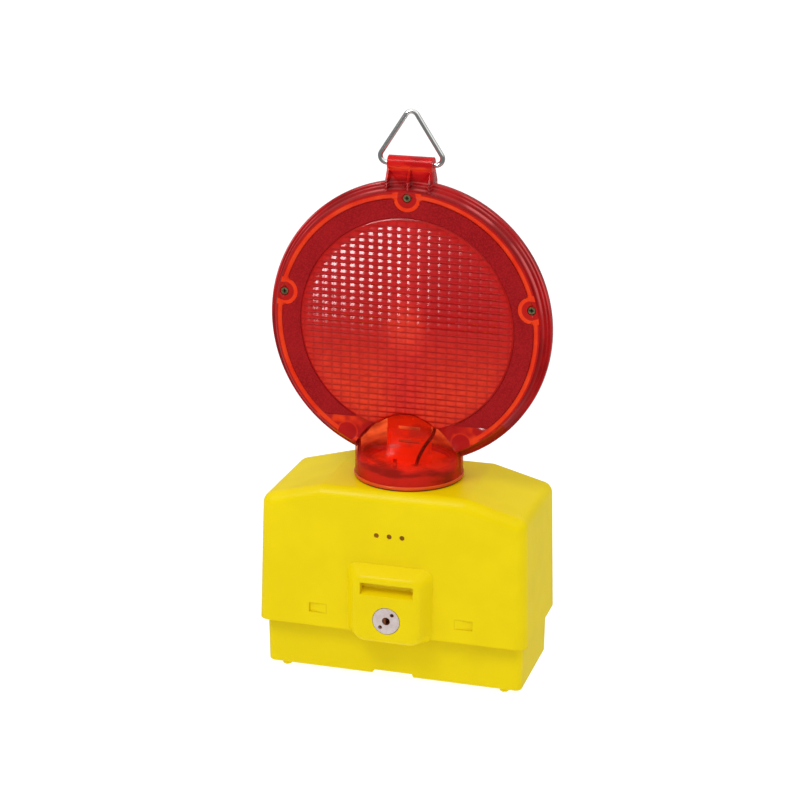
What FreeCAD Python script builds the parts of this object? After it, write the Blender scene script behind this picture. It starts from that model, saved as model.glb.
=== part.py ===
"""Barricade warning light: a red double-sided lens head on a yellow lockable battery housing.

Millimetres, +X to the right seen from the lock, +Y to the back, +Z up.  The origin is on the
ground plane under the middle of the housing, where its four feet stand.
"""

import FreeCAD, Part
import math
import os

import Sketcher

Vector = FreeCAD.Vector
doc = FreeCAD.newDocument("barricade_light")
sheet = doc.addObject("Spreadsheet::Sheet", "sizes")
parts = []


# ---------------------------------------------------------------- sizes on the sheet

class Size:
    """A length with its number and the expression on the sheet that gives it."""

    def __init__(self, number, text):
        self.number = number
        self.text = text

    def __add__(self, other):
        other = as_size(other)
        return Size(self.number + other.number, "(%s + %s)" % (self.text, other.text))

    def __sub__(self, other):
        other = as_size(other)
        return Size(self.number - other.number, "(%s - %s)" % (self.text, other.text))

    def __mul__(self, other):
        other = as_size(other)
        return Size(self.number * other.number, "(%s * %s)" % (self.text, other.text))

    def __truediv__(self, other):
        other = as_size(other)
        return Size(self.number / other.number, "(%s / %s)" % (self.text, other.text))

    def __neg__(self):
        return Size(-self.number, "(0 - %s)" % self.text)

    def __radd__(self, other):
        return as_size(other) + self

    def __rsub__(self, other):
        return as_size(other) - self

    def __rmul__(self, other):
        return as_size(other) * self


def as_size(value):
    """Let plain numbers stand beside sizes."""
    if isinstance(value, Size):
        return value
    return Size(float(value), "(%.6f)" % value)


def size(alias, number):
    """Put one driving dimension on the sheet and return it."""
    size.row += 1
    sheet.set("A%d" % size.row, alias)
    sheet.set("B%d" % size.row, "%g" % number)
    sheet.setAlias("B%d" % size.row, alias)
    return Size(float(number), "sizes.%s" % alias)


size.row = 0

# housing
wall = size("wall", 2.5)
foot_height = size("foot_height", 3)
foot_diameter = size("foot_diameter", 7)
foot_round = size("foot_round", 2)
foot_spread = size("foot_spread", 159)
base_width = size("base_width", 186)
base_depth = size("base_depth", 78)
base_rim = size("base_rim", 61.5)
base_corner = size("base_corner", 4.5)
base_bottom_round = size("base_bottom_round", 1.5)
channel_width = size("channel_width", 28)
channel_height = size("channel_height", 3)
socket_bore = size("socket_bore", 18.6)
socket_depth = size("socket_depth", 62)
cover_width = size("cover_width", 193.6)
cover_depth = size("cover_depth", 92)
side_taper = size("side_taper", 3)
front_taper = size("front_taper", 1.5)
cover_bottom = size("cover_bottom", 37.5)
eave_height = size("eave_height", 128.5)
roof_height = size("roof_height", 140.5)
roof_flat = size("roof_flat", 103)
cover_round = size("cover_round", 8)

# batteries of the 4R25 type
battery_side = size("battery_side", 67)
battery_height = size("battery_height", 102)
battery_offset = size("battery_offset", 51.5)
spring_height = size("spring_height", 9)
spring_wire = size("spring_wire", 1.2)

# lock pad, slot and lock
pad_width = size("pad_width", 64.4)
pad_face_width = size("pad_face_width", 47)
pad_bottom = size("pad_bottom", 33.8)
pad_top = size("pad_top", 89.6)
pad_face_top = size("pad_face_top", 82)
pad_proud = size("pad_proud", 9)
pad_corner = size("pad_corner", 9)
pad_edge = size("pad_edge", 4)
slot_width = size("slot_width", 38)
slot_low = size("slot_low", 69)
slot_high = size("slot_high", 77.8)
slot_depth = size("slot_depth", 7.5)
lock_height = size("lock_height", 51.2)
lock_diameter = size("lock_diameter", 19)
lock_shaft = size("lock_shaft", 12)
window_height = size("window_height", 109.5)
window_pitch = size("window_pitch", 9.15)
window_middle = size("window_middle", -1)
window_diameter = size("window_diameter", 3.6)

# lens head
head_height = size("head_height", 249.5)
face_depth = size("face_depth", 11)
face_radius = size("face_radius", 94)
flange_radius = size("flange_radius", 99.5)
lens_radius = size("lens_radius", 74)
band_inner = size("band_inner", 75.5)
band_outer = size("band_outer", 88.6)
band_thickness = size("band_thickness", 2.2)
band_end = size("band_end", 67)
boss_circle = size("boss_circle", 89)
scallop_radius = size("scallop_radius", 9.5)
collar_radius = size("collar_radius", 37.7)
hood_crown = size("hood_crown", 10.7)
hood_top = size("hood_top", 188.5)
hood_round = size("hood_round", 58)
hood_start = size("hood_start", 163)
neck_radius = size("neck_radius", 33)
ring_radius = size("ring_radius", 38.5)
ring_thickness = size("ring_thickness", 2.4)

# lug and hanging ring
lug_width = size("lug_width", 31.3)
lug_depth = size("lug_depth", 9.5)
tube_height = size("tube_height", 360)
tube_diameter = size("tube_diameter", 10.5)
wire_diameter = size("wire_diameter", 3.4)
ring_width = size("ring_width", 45.5)
ring_top = size("ring_top", 398.6)
ring_corner = size("ring_corner", 4.5)

# heights that follow from the driving dimensions
floor_top = foot_height + wall
battery_top = floor_top + battery_height
spring_top = battery_top + spring_height
contact_thickness = 0.5
plate_low = spring_top + contact_thickness
plate_high = plate_low + 2
board_low = plate_high + 2
board_high = board_low + 1.6
cover_front = -cover_depth / 2
pad_face = cover_front - pad_proud
tray_front = -base_depth / 2
seal_thickness = 0.7
ring_low = roof_height + 0.1 + seal_thickness
ring_high = ring_low + ring_thickness
neck_low = roof_height - 9.5

# screw posts of the lens head: three with screws, two without, in degrees from +X
SCREW_ANGLES = (90, 12, 168)
BLIND_ANGLES = (-63.5, -118)


# ---------------------------------------------------------------- drawing helpers

def bind(thing, path, value):
    """Drive one property of an object from the sheet."""
    thing.setExpression(path, as_size(value).text)


# The origin plane square to each axis, and the sign of its normal along that axis.
PLANES = {"x": ("YZ_Plane", 1), "y": ("XZ_Plane", -1), "z": ("XY_Plane", 1)}
TURNS = {
    "x": FreeCAD.Rotation(Vector(0, 1, 0), 90),
    "y": FreeCAD.Rotation(Vector(1, 0, 0), -90),
    "z": FreeCAD.Rotation(),
}


def new_body(name):
    return doc.addObject("PartDesign::Body", name)


def new_sketch(body, name, axis, place):
    """A sketch on the plane square to an axis, at a place along it."""
    role, sign = PLANES[axis]
    plane = [item for item in body.Origin.OriginFeatures if item.Role == role][0]
    sketch = body.newObject("Sketcher::SketchObject", name)
    sketch.AttachmentSupport = [(plane, "")]
    sketch.MapMode = "FlatFace"
    bind(sketch, "AttachmentOffset.Base.z", as_size(place) * sign)
    return sketch


def hold(sketch, kind, geometry, point, value):
    """Fix one coordinate of a sketch point from the sheet."""
    value = as_size(value)
    index = sketch.addConstraint(Sketcher.Constraint(kind, -1, 1, geometry, point, value.number))
    bind(sketch, "Constraints[%d]" % index, value)


def polygon(sketch, points):
    """A closed outline with every corner driven from the sheet."""
    corners = [Vector(as_size(u).number, as_size(v).number, 0) for u, v in points]
    first = sketch.GeometryCount
    for number, corner in enumerate(corners):
        following = corners[(number + 1) % len(corners)]
        sketch.addGeometry(Part.LineSegment(corner, following))
    for number, (u, v) in enumerate(points):
        following = first + (number + 1) % len(points)
        sketch.addConstraint(Sketcher.Constraint("Coincident", first + number, 2, following, 1))
        hold(sketch, "DistanceX", first + number, 1, u)
        hold(sketch, "DistanceY", first + number, 1, v)


def rectangle(sketch, u_low, u_high, v_low, v_high):
    polygon(sketch, [(u_low, v_low), (u_high, v_low), (u_high, v_high), (u_low, v_high)])


def circle(sketch, radius, u=0, v=0):
    radius = as_size(radius)
    centre = Vector(as_size(u).number, as_size(v).number, 0)
    index = sketch.addGeometry(Part.Circle(centre, Vector(0, 0, 1), radius.number))
    hold(sketch, "DistanceX", index, 3, u)
    hold(sketch, "DistanceY", index, 3, v)
    limit = sketch.addConstraint(Sketcher.Constraint("Radius", index, radius.number))
    bind(sketch, "Constraints[%d]" % limit, radius)


def extrude(kind, body, name, axis, start, end, draw):
    """Pad or pocket an outline from one plane to another along an axis."""
    length = as_size(end) - as_size(start)
    forward = length.number > 0
    sketch = new_sketch(body, name + "_sketch", axis, start)
    draw(sketch)
    feature = body.newObject("PartDesign::" + kind, name)
    feature.Profile = sketch
    along_normal = forward == (PLANES[axis][1] > 0)
    feature.Reversed = along_normal if kind == "Pocket" else not along_normal
    bind(feature, "Length", length if forward else -length)
    return feature


def pad(body, name, axis, start, end, draw):
    return extrude("Pad", body, name, axis, start, end, draw)


def pocket(body, name, axis, start, end, draw):
    return extrude("Pocket", body, name, axis, start, end, draw)


def loft(body, name, axis, start, draw_start, end, draw_end):
    """Join two outlines on parallel planes with ruled sides."""
    first = new_sketch(body, name + "_start", axis, start)
    draw_start(first)
    last = new_sketch(body, name + "_end", axis, end)
    draw_end(last)
    feature = body.newObject("PartDesign::AdditiveLoft", name)
    feature.Profile = first
    feature.Sections = [(last, [""])]
    feature.Ruled = True
    return feature


def revolve(body, name, axis, height, draw):
    """Turn an outline of (radius, distance along the axis) about the Y or Z axis."""
    if axis == "z":
        sketch = new_sketch(body, name + "_sketch", "y", 0)
    else:
        sketch = new_sketch(body, name + "_sketch", "z", height)
    draw(sketch)
    feature = body.newObject("PartDesign::Revolution", name)
    feature.Profile = sketch
    feature.ReferenceAxis = (sketch, ["V_Axis"])
    feature.Angle = 360
    return feature


def soften(body, name, radius, wanted):
    """Round the edges of the body so far that wanted() picks."""
    doc.recompute()
    base = body.Tip
    edges = enumerate(base.Shape.Edges)
    chosen = ["Edge%d" % (number + 1) for number, edge in edges if wanted(edge)]
    feature = body.newObject("PartDesign::Fillet", name)
    feature.Base = (base, chosen)
    bind(feature, "Radius", radius)
    return feature


def upright(edge):
    """True for an edge that runs mostly up and down."""
    box = edge.BoundBox
    return box.ZLength > 2 * max(box.XLength, box.YLength)


def block(name, x_span, y_span, z_span):
    """A box between two places along each axis."""
    made = doc.addObject("Part::Box", name)
    spans = zip(("Length", "Width", "Height"), "xyz", (x_span, y_span, z_span))
    for side, axis, (low, high) in spans:
        bind(made, side, as_size(high) - low)
        bind(made, "Placement.Base." + axis, low)
    return made


def rod(name, radius, axis, span, x=0, y=0, z=0):
    """A cylinder along an axis between two places on it."""
    made = doc.addObject("Part::Cylinder", name)
    made.Placement = FreeCAD.Placement(Vector(), TURNS[axis])
    base = {"x": x, "y": y, "z": z}
    base[axis] = span[0]
    bind(made, "Radius", radius)
    bind(made, "Height", as_size(span[1]) - span[0])
    for letter, place in base.items():
        bind(made, "Placement.Base." + letter, place)
    return made


def fuse(name, *shapes):
    made = doc.addObject("Part::MultiFuse", name)
    made.Shapes = list(shapes)
    return made


def group(name, *shapes):
    """Separate solids kept together under one name."""
    made = doc.addObject("Part::Compound", name)
    made.Links = list(shapes)
    return made


def cut(name, base, *tools):
    made = doc.addObject("Part::Cut", name)
    made.Base = base
    made.Tool = tools[0] if len(tools) == 1 else fuse(name + "_tools", *tools)
    return made


def finished(made, label):
    """Record an object as a sub-part under the name that its file gets."""
    made.Label = label
    parts.append(made)
    return made


def on_circle(radius, degrees):
    """A point of the lens face at an angle from +X, as x and z."""
    angle = math.radians(degrees)
    return radius * math.cos(angle), head_height + radius * math.sin(angle)


# ---------------------------------------------------------------- battery tray

TRAY_DRAFT_DEGREES = 0.8
TRAY_DRAFT_INSET = 0.8
PARTITION_DROP = 20


def tray_body():
    body = new_body("base_tray")
    half_width = base_width / 2
    half_depth = base_depth / 2
    block_feature = pad(body, "tray_block", "z", base_rim, foot_height,
                        lambda s: rectangle(s, -half_width, half_width, -half_depth, half_depth))
    block_feature.TaperAngle = -TRAY_DRAFT_DEGREES
    soften(body, "tray_corners", base_corner, upright)
    soften(body, "tray_bottom_edge", base_bottom_round,
           lambda edge: edge.BoundBox.ZMax < foot_height.number + 0.1)
    inner_width = half_width - wall - TRAY_DRAFT_INSET
    inner_depth = half_depth - wall
    pocket(body, "tray_hollow", "z", base_rim, floor_top,
           lambda s: rectangle(s, -inner_width, inner_width, -inner_depth, inner_depth))
    return body


def tray_bay(body):
    """The middle bay between the batteries: thick floor, two partitions and the spigot socket."""
    bay = battery_offset - battery_side / 2 - 0.5
    inner_depth = base_depth / 2 - wall
    tower_top = foot_height + socket_depth + wall
    pad(body, "bay_floor", "z", foot_height + 0.5, floor_top + wall,
        lambda s: rectangle(s, -bay, bay, -inner_depth - 0.5, inner_depth + 0.5))
    for side, inner, outer in (("left", -bay, wall - bay), ("right", bay - wall, bay)):
        pad(body, "partition_" + side, "z", floor_top, base_rim - PARTITION_DROP,
            lambda s: rectangle(s, inner, outer, -inner_depth - 0.5, inner_depth + 0.5))
    half = channel_width / 2
    pocket(body, "channel", "y", tray_front - 1, base_depth / 2 + 1,
           lambda s: polygon(s, [(-half - 1.5, foot_height - 1), (half + 1.5, foot_height - 1),
                                 (half, foot_height + channel_height),
                                 (-half, foot_height + channel_height)]))
    pad(body, "socket_tower", "z", 0, tower_top, lambda s: circle(s, socket_bore / 2 + wall))
    pocket(body, "socket_bore_hole", "z", -1, foot_height + socket_depth,
           lambda s: circle(s, socket_bore / 2))


def tray_lock_side(body):
    """The open notch that the lock shaft drops into, and the rib that its cam turns under."""
    half = lock_shaft / 2 + 1.5
    pocket(body, "lock_notch", "y", tray_front - 1, tray_front + wall + 0.2,
           lambda s: rectangle(s, -half, half, lock_height - half, base_rim + 1))
    rib_low = lock_height + 6.5
    pad(body, "strike_rib", "y", tray_front + wall - 0.5, tray_front + wall + 8,
        lambda s: rectangle(s, 8, 17, rib_low, base_rim))


def tray_feet(body):
    x = foot_spread / 2
    y = base_depth / 2 - 6
    corners = ((-x, -y), (x, -y), (x, y), (-x, y))

    def draw(sketch):
        for u, v in corners:
            circle(sketch, foot_diameter / 2, u, v)

    pad(body, "feet", "z", foot_height + 1, 0, draw)
    widest = foot_diameter.number + 1
    soften(body, "feet_edges", foot_round,
           lambda edge: edge.BoundBox.ZMax < 0.1 and edge.BoundBox.XLength < widest)


def make_base_tray():
    body = tray_body()
    tray_bay(body)
    tray_lock_side(body)
    tray_feet(body)
    finished(body, "base_tray")


# ---------------------------------------------------------------- batteries

def make_battery(name, x):
    half = battery_side / 2
    body = new_body(name)
    pad(body, name + "_case", "z", floor_top, battery_top,
        lambda s: rectangle(s, x - half, x + half, -half, half))
    soften(body, name + "_corners", 6, upright)
    lid_groove = battery_top - 6
    sketch = new_sketch(body, name + "_seam_sketch", "z", lid_groove)
    rectangle(sketch, x - half - 1, x + half + 1, -half - 1, half + 1)
    rectangle(sketch, x - half + 0.8, x + half - 0.8, 0.8 - half, half - 0.8)
    seam = body.newObject("PartDesign::Pocket", name + "_seam")
    seam.Profile = sketch
    seam.Length = 1
    finished(body, name)


def terminal_spring(name, x, y):
    """A conical terminal spring, drawn as three closed turns joined by a slanted riser."""
    radius = spring_wire / 2
    rise = spring_height - spring_wire - 0.1
    low_turn = 6.5
    narrowing = 1.1
    turns = []
    for number in range(3):
        turn = doc.addObject("Part::Torus", "%s_turn_%d" % (name, number))
        bind(turn, "Radius1", low_turn - narrowing * number)
        bind(turn, "Radius2", radius)
        bind(turn, "Placement.Base.x", x)
        bind(turn, "Placement.Base.y", y)
        bind(turn, "Placement.Base.z", battery_top + radius + rise * number / 2)
        turns.append(turn)
    riser = doc.addObject("Part::Cylinder", name + "_riser")
    lean = math.degrees(math.atan2(2 * narrowing, rise.number))
    riser.Placement = FreeCAD.Placement(Vector(), FreeCAD.Rotation(Vector(0, 1, 0), -lean))
    bind(riser, "Radius", radius)
    bind(riser, "Height", rise)
    bind(riser, "Placement.Base.x", x + low_turn)
    bind(riser, "Placement.Base.y", y)
    bind(riser, "Placement.Base.z", battery_top + radius)
    return fuse(name, riser, *turns)


def make_springs(name, x):
    corner = battery_side / 2 - 14
    springs = [terminal_spring(name + "_middle", x, as_size(0)),
               terminal_spring(name + "_corner", x + corner, corner)]
    finished(group(name + "_pair", *springs), name)


# ---------------------------------------------------------------- cover

def roof_block(name, inset, bottom, rounding):
    """The housing form: drafted walls, a flat ridge and a sloping shoulder at each end."""
    half_width = cover_width / 2 - inset
    half_depth = cover_depth / 2 - inset
    top = roof_height - inset
    flat = roof_flat / 2 - inset / 2
    eave = eave_height - inset
    body = new_body(name)
    loft(
        body, name + "_block", "z",
        bottom, lambda s: rectangle(s, -half_width, half_width, -half_depth, half_depth),
        top, lambda s: rectangle(s, side_taper - half_width, half_width - side_taper,
                                 front_taper - half_depth, half_depth - front_taper),
    )
    outside = half_width + 10
    low = eave - (top - eave) * 10 / (half_width - flat)

    def draw(sketch):
        for side in (-1, 1):
            polygon(sketch, [(flat * side, top), (outside * side, low),
                             (outside * side, top + 10), (flat * side, top + 10)])

    pocket(body, name + "_shoulders", "y", -half_depth - 1, half_depth + 1, draw)
    soften(body, name + "_rounding", rounding,
           lambda edge: edge.BoundBox.ZMax > as_size(bottom).number + 1)
    return body


def lock_pad():
    """The raised pad round the lock, with a sloping top and sides."""
    body = new_body("lock_pad")
    half = pad_width / 2
    face_half = pad_face_width / 2
    loft(
        body, "pad_form", "y",
        cover_front + wall,
        lambda s: rectangle(s, -half, half, pad_bottom, pad_top),
        pad_face,
        lambda s: rectangle(s, -face_half, face_half, pad_bottom, pad_face_top),
    )
    soften(body, "pad_corners", pad_corner, lambda edge: edge.BoundBox.YLength > 5)
    soften(body, "pad_face_edge", pad_edge,
           lambda edge: edge.BoundBox.YMax < pad_face.number + 0.1)
    return body


def card_slot():
    """The shallow slot with a sloping floor, above the lock."""
    body = new_body("card_slot")
    half = slot_width / 2
    outside = pad_face - 1
    inside = pad_face + slot_depth
    pad(body, "slot_form", "x", -half, half,
        lambda s: polygon(s, [(outside, slot_low - 0.5), (inside, slot_low + 3),
                              (inside, slot_high), (outside, slot_high)]))
    return body


# The two shallow marks in the cover's front: ends from the middle, height of the lower edge.
MARK_OUTER = 58.8
MARK_INNER = 46.2
MARK_LOW = 47.6
MARK_TALL = 6.7
MARK_DEEP = 1.4


def ramped_mark(name, side):
    """A shallow pocket that is deep at its outer end and runs out to nothing."""
    body = new_body(name)
    outside = cover_front - 1
    pad(body, name + "_form", "z", MARK_LOW, MARK_LOW + MARK_TALL,
        lambda s: polygon(s, [(MARK_OUTER * side, outside),
                              (MARK_OUTER * side, cover_front + MARK_DEEP),
                              (MARK_INNER * side, cover_front + 0.15),
                              (MARK_INNER * side, outside)]))
    return body


# The two screws that hold the lock body stand diagonally beside its sleeve.
LOCK_SCREW_X = 13
LOCK_SCREW_Z = 8
LOCK_SCREW_RADIUS = 1.2


def window_places():
    return [window_middle - window_pitch, window_middle, window_middle + window_pitch]


def cover_openings():
    """Everything that is cut through the cover from outside."""
    lock_hole = rod("lock_hole", lock_diameter / 2 + 0.4, "y", (pad_face - 1, pad_face + wall + 1),
                    z=lock_height)
    neck_hole = rod("neck_hole", neck_radius + 0.3, "z", (roof_height - 10, roof_height + 1))
    windows = [rod("window_hole_%d" % number, window_diameter / 2, "y",
                   (cover_front - 1, cover_front + wall + 2), x=place, z=window_height)
               for number, place in enumerate(window_places())]
    pad_hollow = block("pad_hollow", (-17, 17), (pad_face + wall, cover_front + wall + 1),
                       (pad_bottom + wall, slot_low - 3))
    pilots = [rod("lock_pilot_%d" % number, LOCK_SCREW_RADIUS, "y", (pad_face + 1.1, pad_face + 3),
                  x=LOCK_SCREW_X * side, z=lock_height - LOCK_SCREW_Z * side)
              for number, side in enumerate((-1, 1))]
    marks = [ramped_mark("mark_left", -1), ramped_mark("mark_right", 1)]
    return [lock_hole, neck_hole, pad_hollow, card_slot()] + windows + pilots + marks


BOSS_X = 60
BOSS_Y = 33


def cover_inside():
    """Screw bosses for the contact plate and ribs that rest on the tray's rim."""
    made = []
    for number, (x, y) in enumerate(((-1, -1), (1, -1), (1, 1), (-1, 1))):
        post = rod("boss_%d" % number, 4, "z", (plate_high, roof_height - wall - 1),
                   x=BOSS_X * x, y=BOSS_Y * y)
        pilot = rod("boss_pilot_%d" % number, 1.2, "z", (plate_high - 1, plate_high + 9),
                    x=BOSS_X * x, y=BOSS_Y * y)
        made.append(cut("boss_drilled_%d" % number, post, pilot))
        outer = (cover_depth / 2 - wall + 0.5) * y
        inner = (base_depth / 2 - 1.5) * y
        span = (outer, inner) if y < 0 else (inner, outer)
        made.append(block("rest_rib_%d" % number, (70 * x - 1.2, 70 * x + 1.2), span,
                          (base_rim + 0.2, base_rim + 20)))
    return made


def make_cover():
    outside = roof_block("cover_outside", as_size(0), cover_bottom, cover_round)
    hollow = roof_block("cover_hollow", wall, cover_bottom - 1, cover_round - wall)
    shell = cut("cover_shell", fuse("cover_with_pad", outside, lock_pad()), hollow)
    opened = cut("cover_opened", shell, *cover_openings())
    finished(fuse("cover_whole", opened, *cover_inside()), "cover")


def make_windows():
    """Small tinted windows, set back a little in their holes."""
    windows = [rod("window_%d" % number, window_diameter / 2, "y",
                   (cover_front + 1.8, cover_front + wall + 1.2), x=place, z=window_height)
               for number, place in enumerate(window_places())]
    finished(group("windows", *windows), "indicator_windows")


# ---------------------------------------------------------------- lock

body_face = pad_face + wall
body_back = tray_front - 1
shaft_end = tray_front + wall + 0.5
cam_back = shaft_end + 2


def make_lock_body():
    """The sleeve screwed behind the pad, which guides the turning core."""
    flange = block("lock_flange", (-16, 16), (body_face, body_face + 2),
                   (lock_height - 11.5, lock_height + 11.5))
    tube = rod("lock_tube", lock_shaft / 2 + 2.5, "y", (body_face + 1, body_back), z=lock_height)
    bore = rod("lock_bore", lock_shaft / 2 + 0.1, "y", (body_face - 1, body_back + 1),
               z=lock_height)
    holes = [rod("lock_screw_hole_%d" % number, LOCK_SCREW_RADIUS + 0.3, "y",
                 (body_face - 1, body_face + 3),
                 x=LOCK_SCREW_X * side, z=lock_height - LOCK_SCREW_Z * side)
             for number, side in enumerate((-1, 1))]
    finished(cut("lock_sleeve", fuse("lock_sleeve_solid", flange, tube), bore, *holes),
             "lock_body")


def pan_screw(name, axis, seat, direction, thread_length, radius, x=0, y=0, z=0):
    """A pan-head screw whose head rests on a seat; the thread runs on in the given direction."""
    seat = as_size(seat)
    head_height_here = radius * 1.3
    thread = (seat, seat + thread_length * direction)
    head = (seat, seat - head_height_here * direction)
    if direction < 0:
        thread = thread[::-1]
    else:
        head = head[::-1]
    place = {"x": x, "y": y, "z": z}
    place.pop(axis)
    shank = rod(name + "_thread", radius, axis, thread, **place)
    cap = rod(name + "_head", radius * 1.9, axis, head, **place)
    across = radius * 1.3
    top = seat - head_height_here * direction
    slot_end = seat - head_height_here * 0.4 * direction
    depth = (top - 1, slot_end) if direction > 0 else (slot_end, top + 1)
    spans = {letter: (place[letter] - across, place[letter] + across) for letter in place}
    thin = {letter: (place[letter] - 0.3, place[letter] + 0.3) for letter in place}
    recesses = []
    for number, letter in enumerate(place):
        cross = {axis: depth}
        for other in place:
            cross[other] = spans[other] if other == letter else thin[other]
        recesses.append(block("%s_recess_%d" % (name, number), cross["x"], cross["y"], cross["z"]))
    return cut(name + "_screw", fuse(name + "_solid", shank, cap), *recesses)


def make_lock_body_screws():
    screws = [pan_screw("lock_body_screw_%d" % number, "y", body_face + 2, -1, 3.2,
                        LOCK_SCREW_RADIUS, x=as_size(LOCK_SCREW_X * side),
                        z=lock_height - LOCK_SCREW_Z * side)
              for number, side in enumerate((-1, 1))]
    finished(group("lock_body_screw_pair", *screws), "lock_body_screws")


# The key's two pin holes stand diagonally about the well in the middle of the lock face.
KEY_HOLE_RADIUS = 1.4
KEY_HOLE_X = 4.2
KEY_HOLE_Z = 4.8
KEY_WELL_RADIUS = 2.9


def make_lock_core():
    """The round face with two key holes and a middle hole, and the shaft behind it."""
    face = rod("lock_face", lock_diameter / 2, "y", (pad_face - 0.2, body_face - 0.1),
               z=lock_height)
    shaft = rod("lock_shaft_rod", lock_shaft / 2, "y", (body_face - 0.5, shaft_end),
                z=lock_height)
    square = block("cam_square", (-3.5, 3.5), (shaft_end - 0.5, cam_back),
                   (lock_height - 3.5, lock_height + 3.5))
    holes = [rod("key_hole_%d" % number, KEY_HOLE_RADIUS, "y", (pad_face - 1, pad_face + 2),
                 x=KEY_HOLE_X * side, z=lock_height + KEY_HOLE_Z * side)
             for number, side in enumerate((-1, 1))]
    well_end = pad_face + 6
    middle = rod("key_well", KEY_WELL_RADIUS, "y", (pad_face - 1, well_end), z=lock_height)
    pin = block("key_flat", (-KEY_WELL_RADIUS - 0.4, -0.6), (pad_face + 0.8, well_end + 0.2),
                (lock_height - KEY_WELL_RADIUS - 0.4, lock_height + KEY_WELL_RADIUS + 0.4))
    well = cut("key_well_shape", middle, pin)
    thread_hole = rod("cam_thread", 1.2, "y", (cam_back - 8, cam_back + 1), z=lock_height)
    solid = fuse("lock_core_solid", face, shaft, square)
    finished(cut("lock_core_cut", solid, well, thread_hole, *holes), "lock_core")


CAM_REACH = 16


def make_lock_cam():
    """The flat tongue; it hangs down when the lock is open."""
    body = new_body("lock_cam_plate")
    tip = lock_height - CAM_REACH
    pad(body, "cam_form", "y", shaft_end, cam_back,
        lambda s: rectangle(s, -5, 5, tip, lock_height + 5.5))
    soften(body, "cam_ends", 3, lambda edge: edge.BoundBox.YLength > 1.5)
    pocket(body, "cam_hole", "y", shaft_end - 1, cam_back + 1,
           lambda s: rectangle(s, -3.5, 3.5, lock_height - 3.5, lock_height + 3.5))
    finished(body, "lock_cam")


def make_lock_cam_screw():
    screw = pan_screw("cam_screw", "y", cam_back, -1, 6, 1.2, x=as_size(0), z=lock_height)
    washer = rod("cam_washer", 5, "y", (cam_back, cam_back + 0.8), z=lock_height)
    finished(fuse("cam_screw_and_washer", screw, washer), "lock_cam_screw")


# ---------------------------------------------------------------- electronics

def make_contact_plate():
    """The moulded plate that carries the contacts below and the board above."""
    body = new_body("contact_plate_form")
    front = indicator_face + 1.6
    pad(body, "plate", "z", plate_low, plate_high, lambda s: rectangle(s, -84, 84, front, -front))
    soften(body, "plate_corners", 6, upright)
    pad(body, "board_posts", "z", plate_high - 0.5, board_low, board_post_circles)
    pad(body, "front_rail", "z", plate_low + 0.5, plate_low - 5,
        lambda s: rectangle(s, -16, 16, front, front + 2))
    pocket(body, "plate_screw_holes", "z", plate_high + 1, plate_low - 1, draw_boss_holes)
    finished(body, "contact_plate")


def board_post_circles(sketch):
    for x in (-48, 48):
        for y in (-20, 20):
            circle(sketch, 2.5, x, y)


def draw_boss_holes(sketch):
    for x in (-BOSS_X, BOSS_X):
        for y in (-BOSS_Y, BOSS_Y):
            circle(sketch, 1.5, x, y)


def make_contacts():
    """Brass strips that the battery springs press on."""
    strips = []
    for side, centre in ((-1, -battery_offset), (1, battery_offset)):
        for number, (x, y) in enumerate(((0, 0), (19.5, 19.5))):
            strips.append(block("contact_%d_%d" % (side, number),
                                (centre + x - 9, centre + x + 9), (y - 9.5, y + 9.5),
                                (plate_low - contact_thickness, plate_low)))
    finished(group("contact_strips", *strips), "battery_contacts")


def make_plate_screws():
    screws = []
    for number, (x, y) in enumerate(((-1, -1), (1, -1), (1, 1), (-1, 1))):
        screws.append(pan_screw("plate_screw_%d" % number, "z", plate_low, 1, 9, 1.2,
                                x=as_size(BOSS_X * x), y=as_size(BOSS_Y * y)))
    finished(group("plate_screw_set", *screws), "contact_plate_screws")


def make_board():
    board = block("board", (-53, 53), (-25, 25), (board_low, board_high))
    finished(board, "main_board")
    chip = block("chip", (14, 24), (-14, -4), (board_high, board_high + 1.2))
    finished(chip, "controller_chip")
    capacitor = rod("capacitor", 3, "z", (board_high, board_high + 6), x=-47, y=-6)
    finished(capacitor, "smoothing_capacitor")
    coil_outer = rod("coil_outer", 4, "z", (board_high, board_high + 4.5), x=47, y=4)
    coil_hole = rod("coil_hole", 1.5, "z", (board_high + 3, board_high + 6), x=47, y=4)
    finished(cut("coil", coil_outer, coil_hole), "boost_coil")
    header = block("header", (-4, 4), (-3, 3), (board_high, board_high + 1.2))
    finished(header, "board_header")


indicator_face = cover_front + wall + 2.8


def make_indicators():
    """A small upright board behind the windows, with two lamps and a light sensor."""
    board = block("upright_board", (-13, 13), (indicator_face, indicator_face + 1.6),
                  (window_height - 6, plate_low))
    finished(board, "indicator_board")
    lamps = []
    for number, place in enumerate(window_places()[::2]):
        lamps.append(rod("indicator_%d" % number, 1.1, "y",
                         (cover_front + wall + 1.3, indicator_face), x=place, z=window_height))
    finished(group("indicator_pair", *lamps), "indicator_leds")
    sensor = block("sensor", (window_middle - 1.3, window_middle + 1.3),
                   (indicator_face - 1.2, indicator_face),
                   (window_height - 1.3, window_height + 1.3))
    finished(sensor, "light_sensor")


# ---------------------------------------------------------------- swivel

RETAINING_SCREW_RADIUS = 0.8


def retaining_screw_places():
    """Three places round the middle of the neck's wall."""
    middle = neck_radius - 1.75
    angles = [math.radians(30 + 120 * number) for number in range(3)]
    return [(middle * math.cos(angle), middle * math.sin(angle)) for angle in angles]


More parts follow.
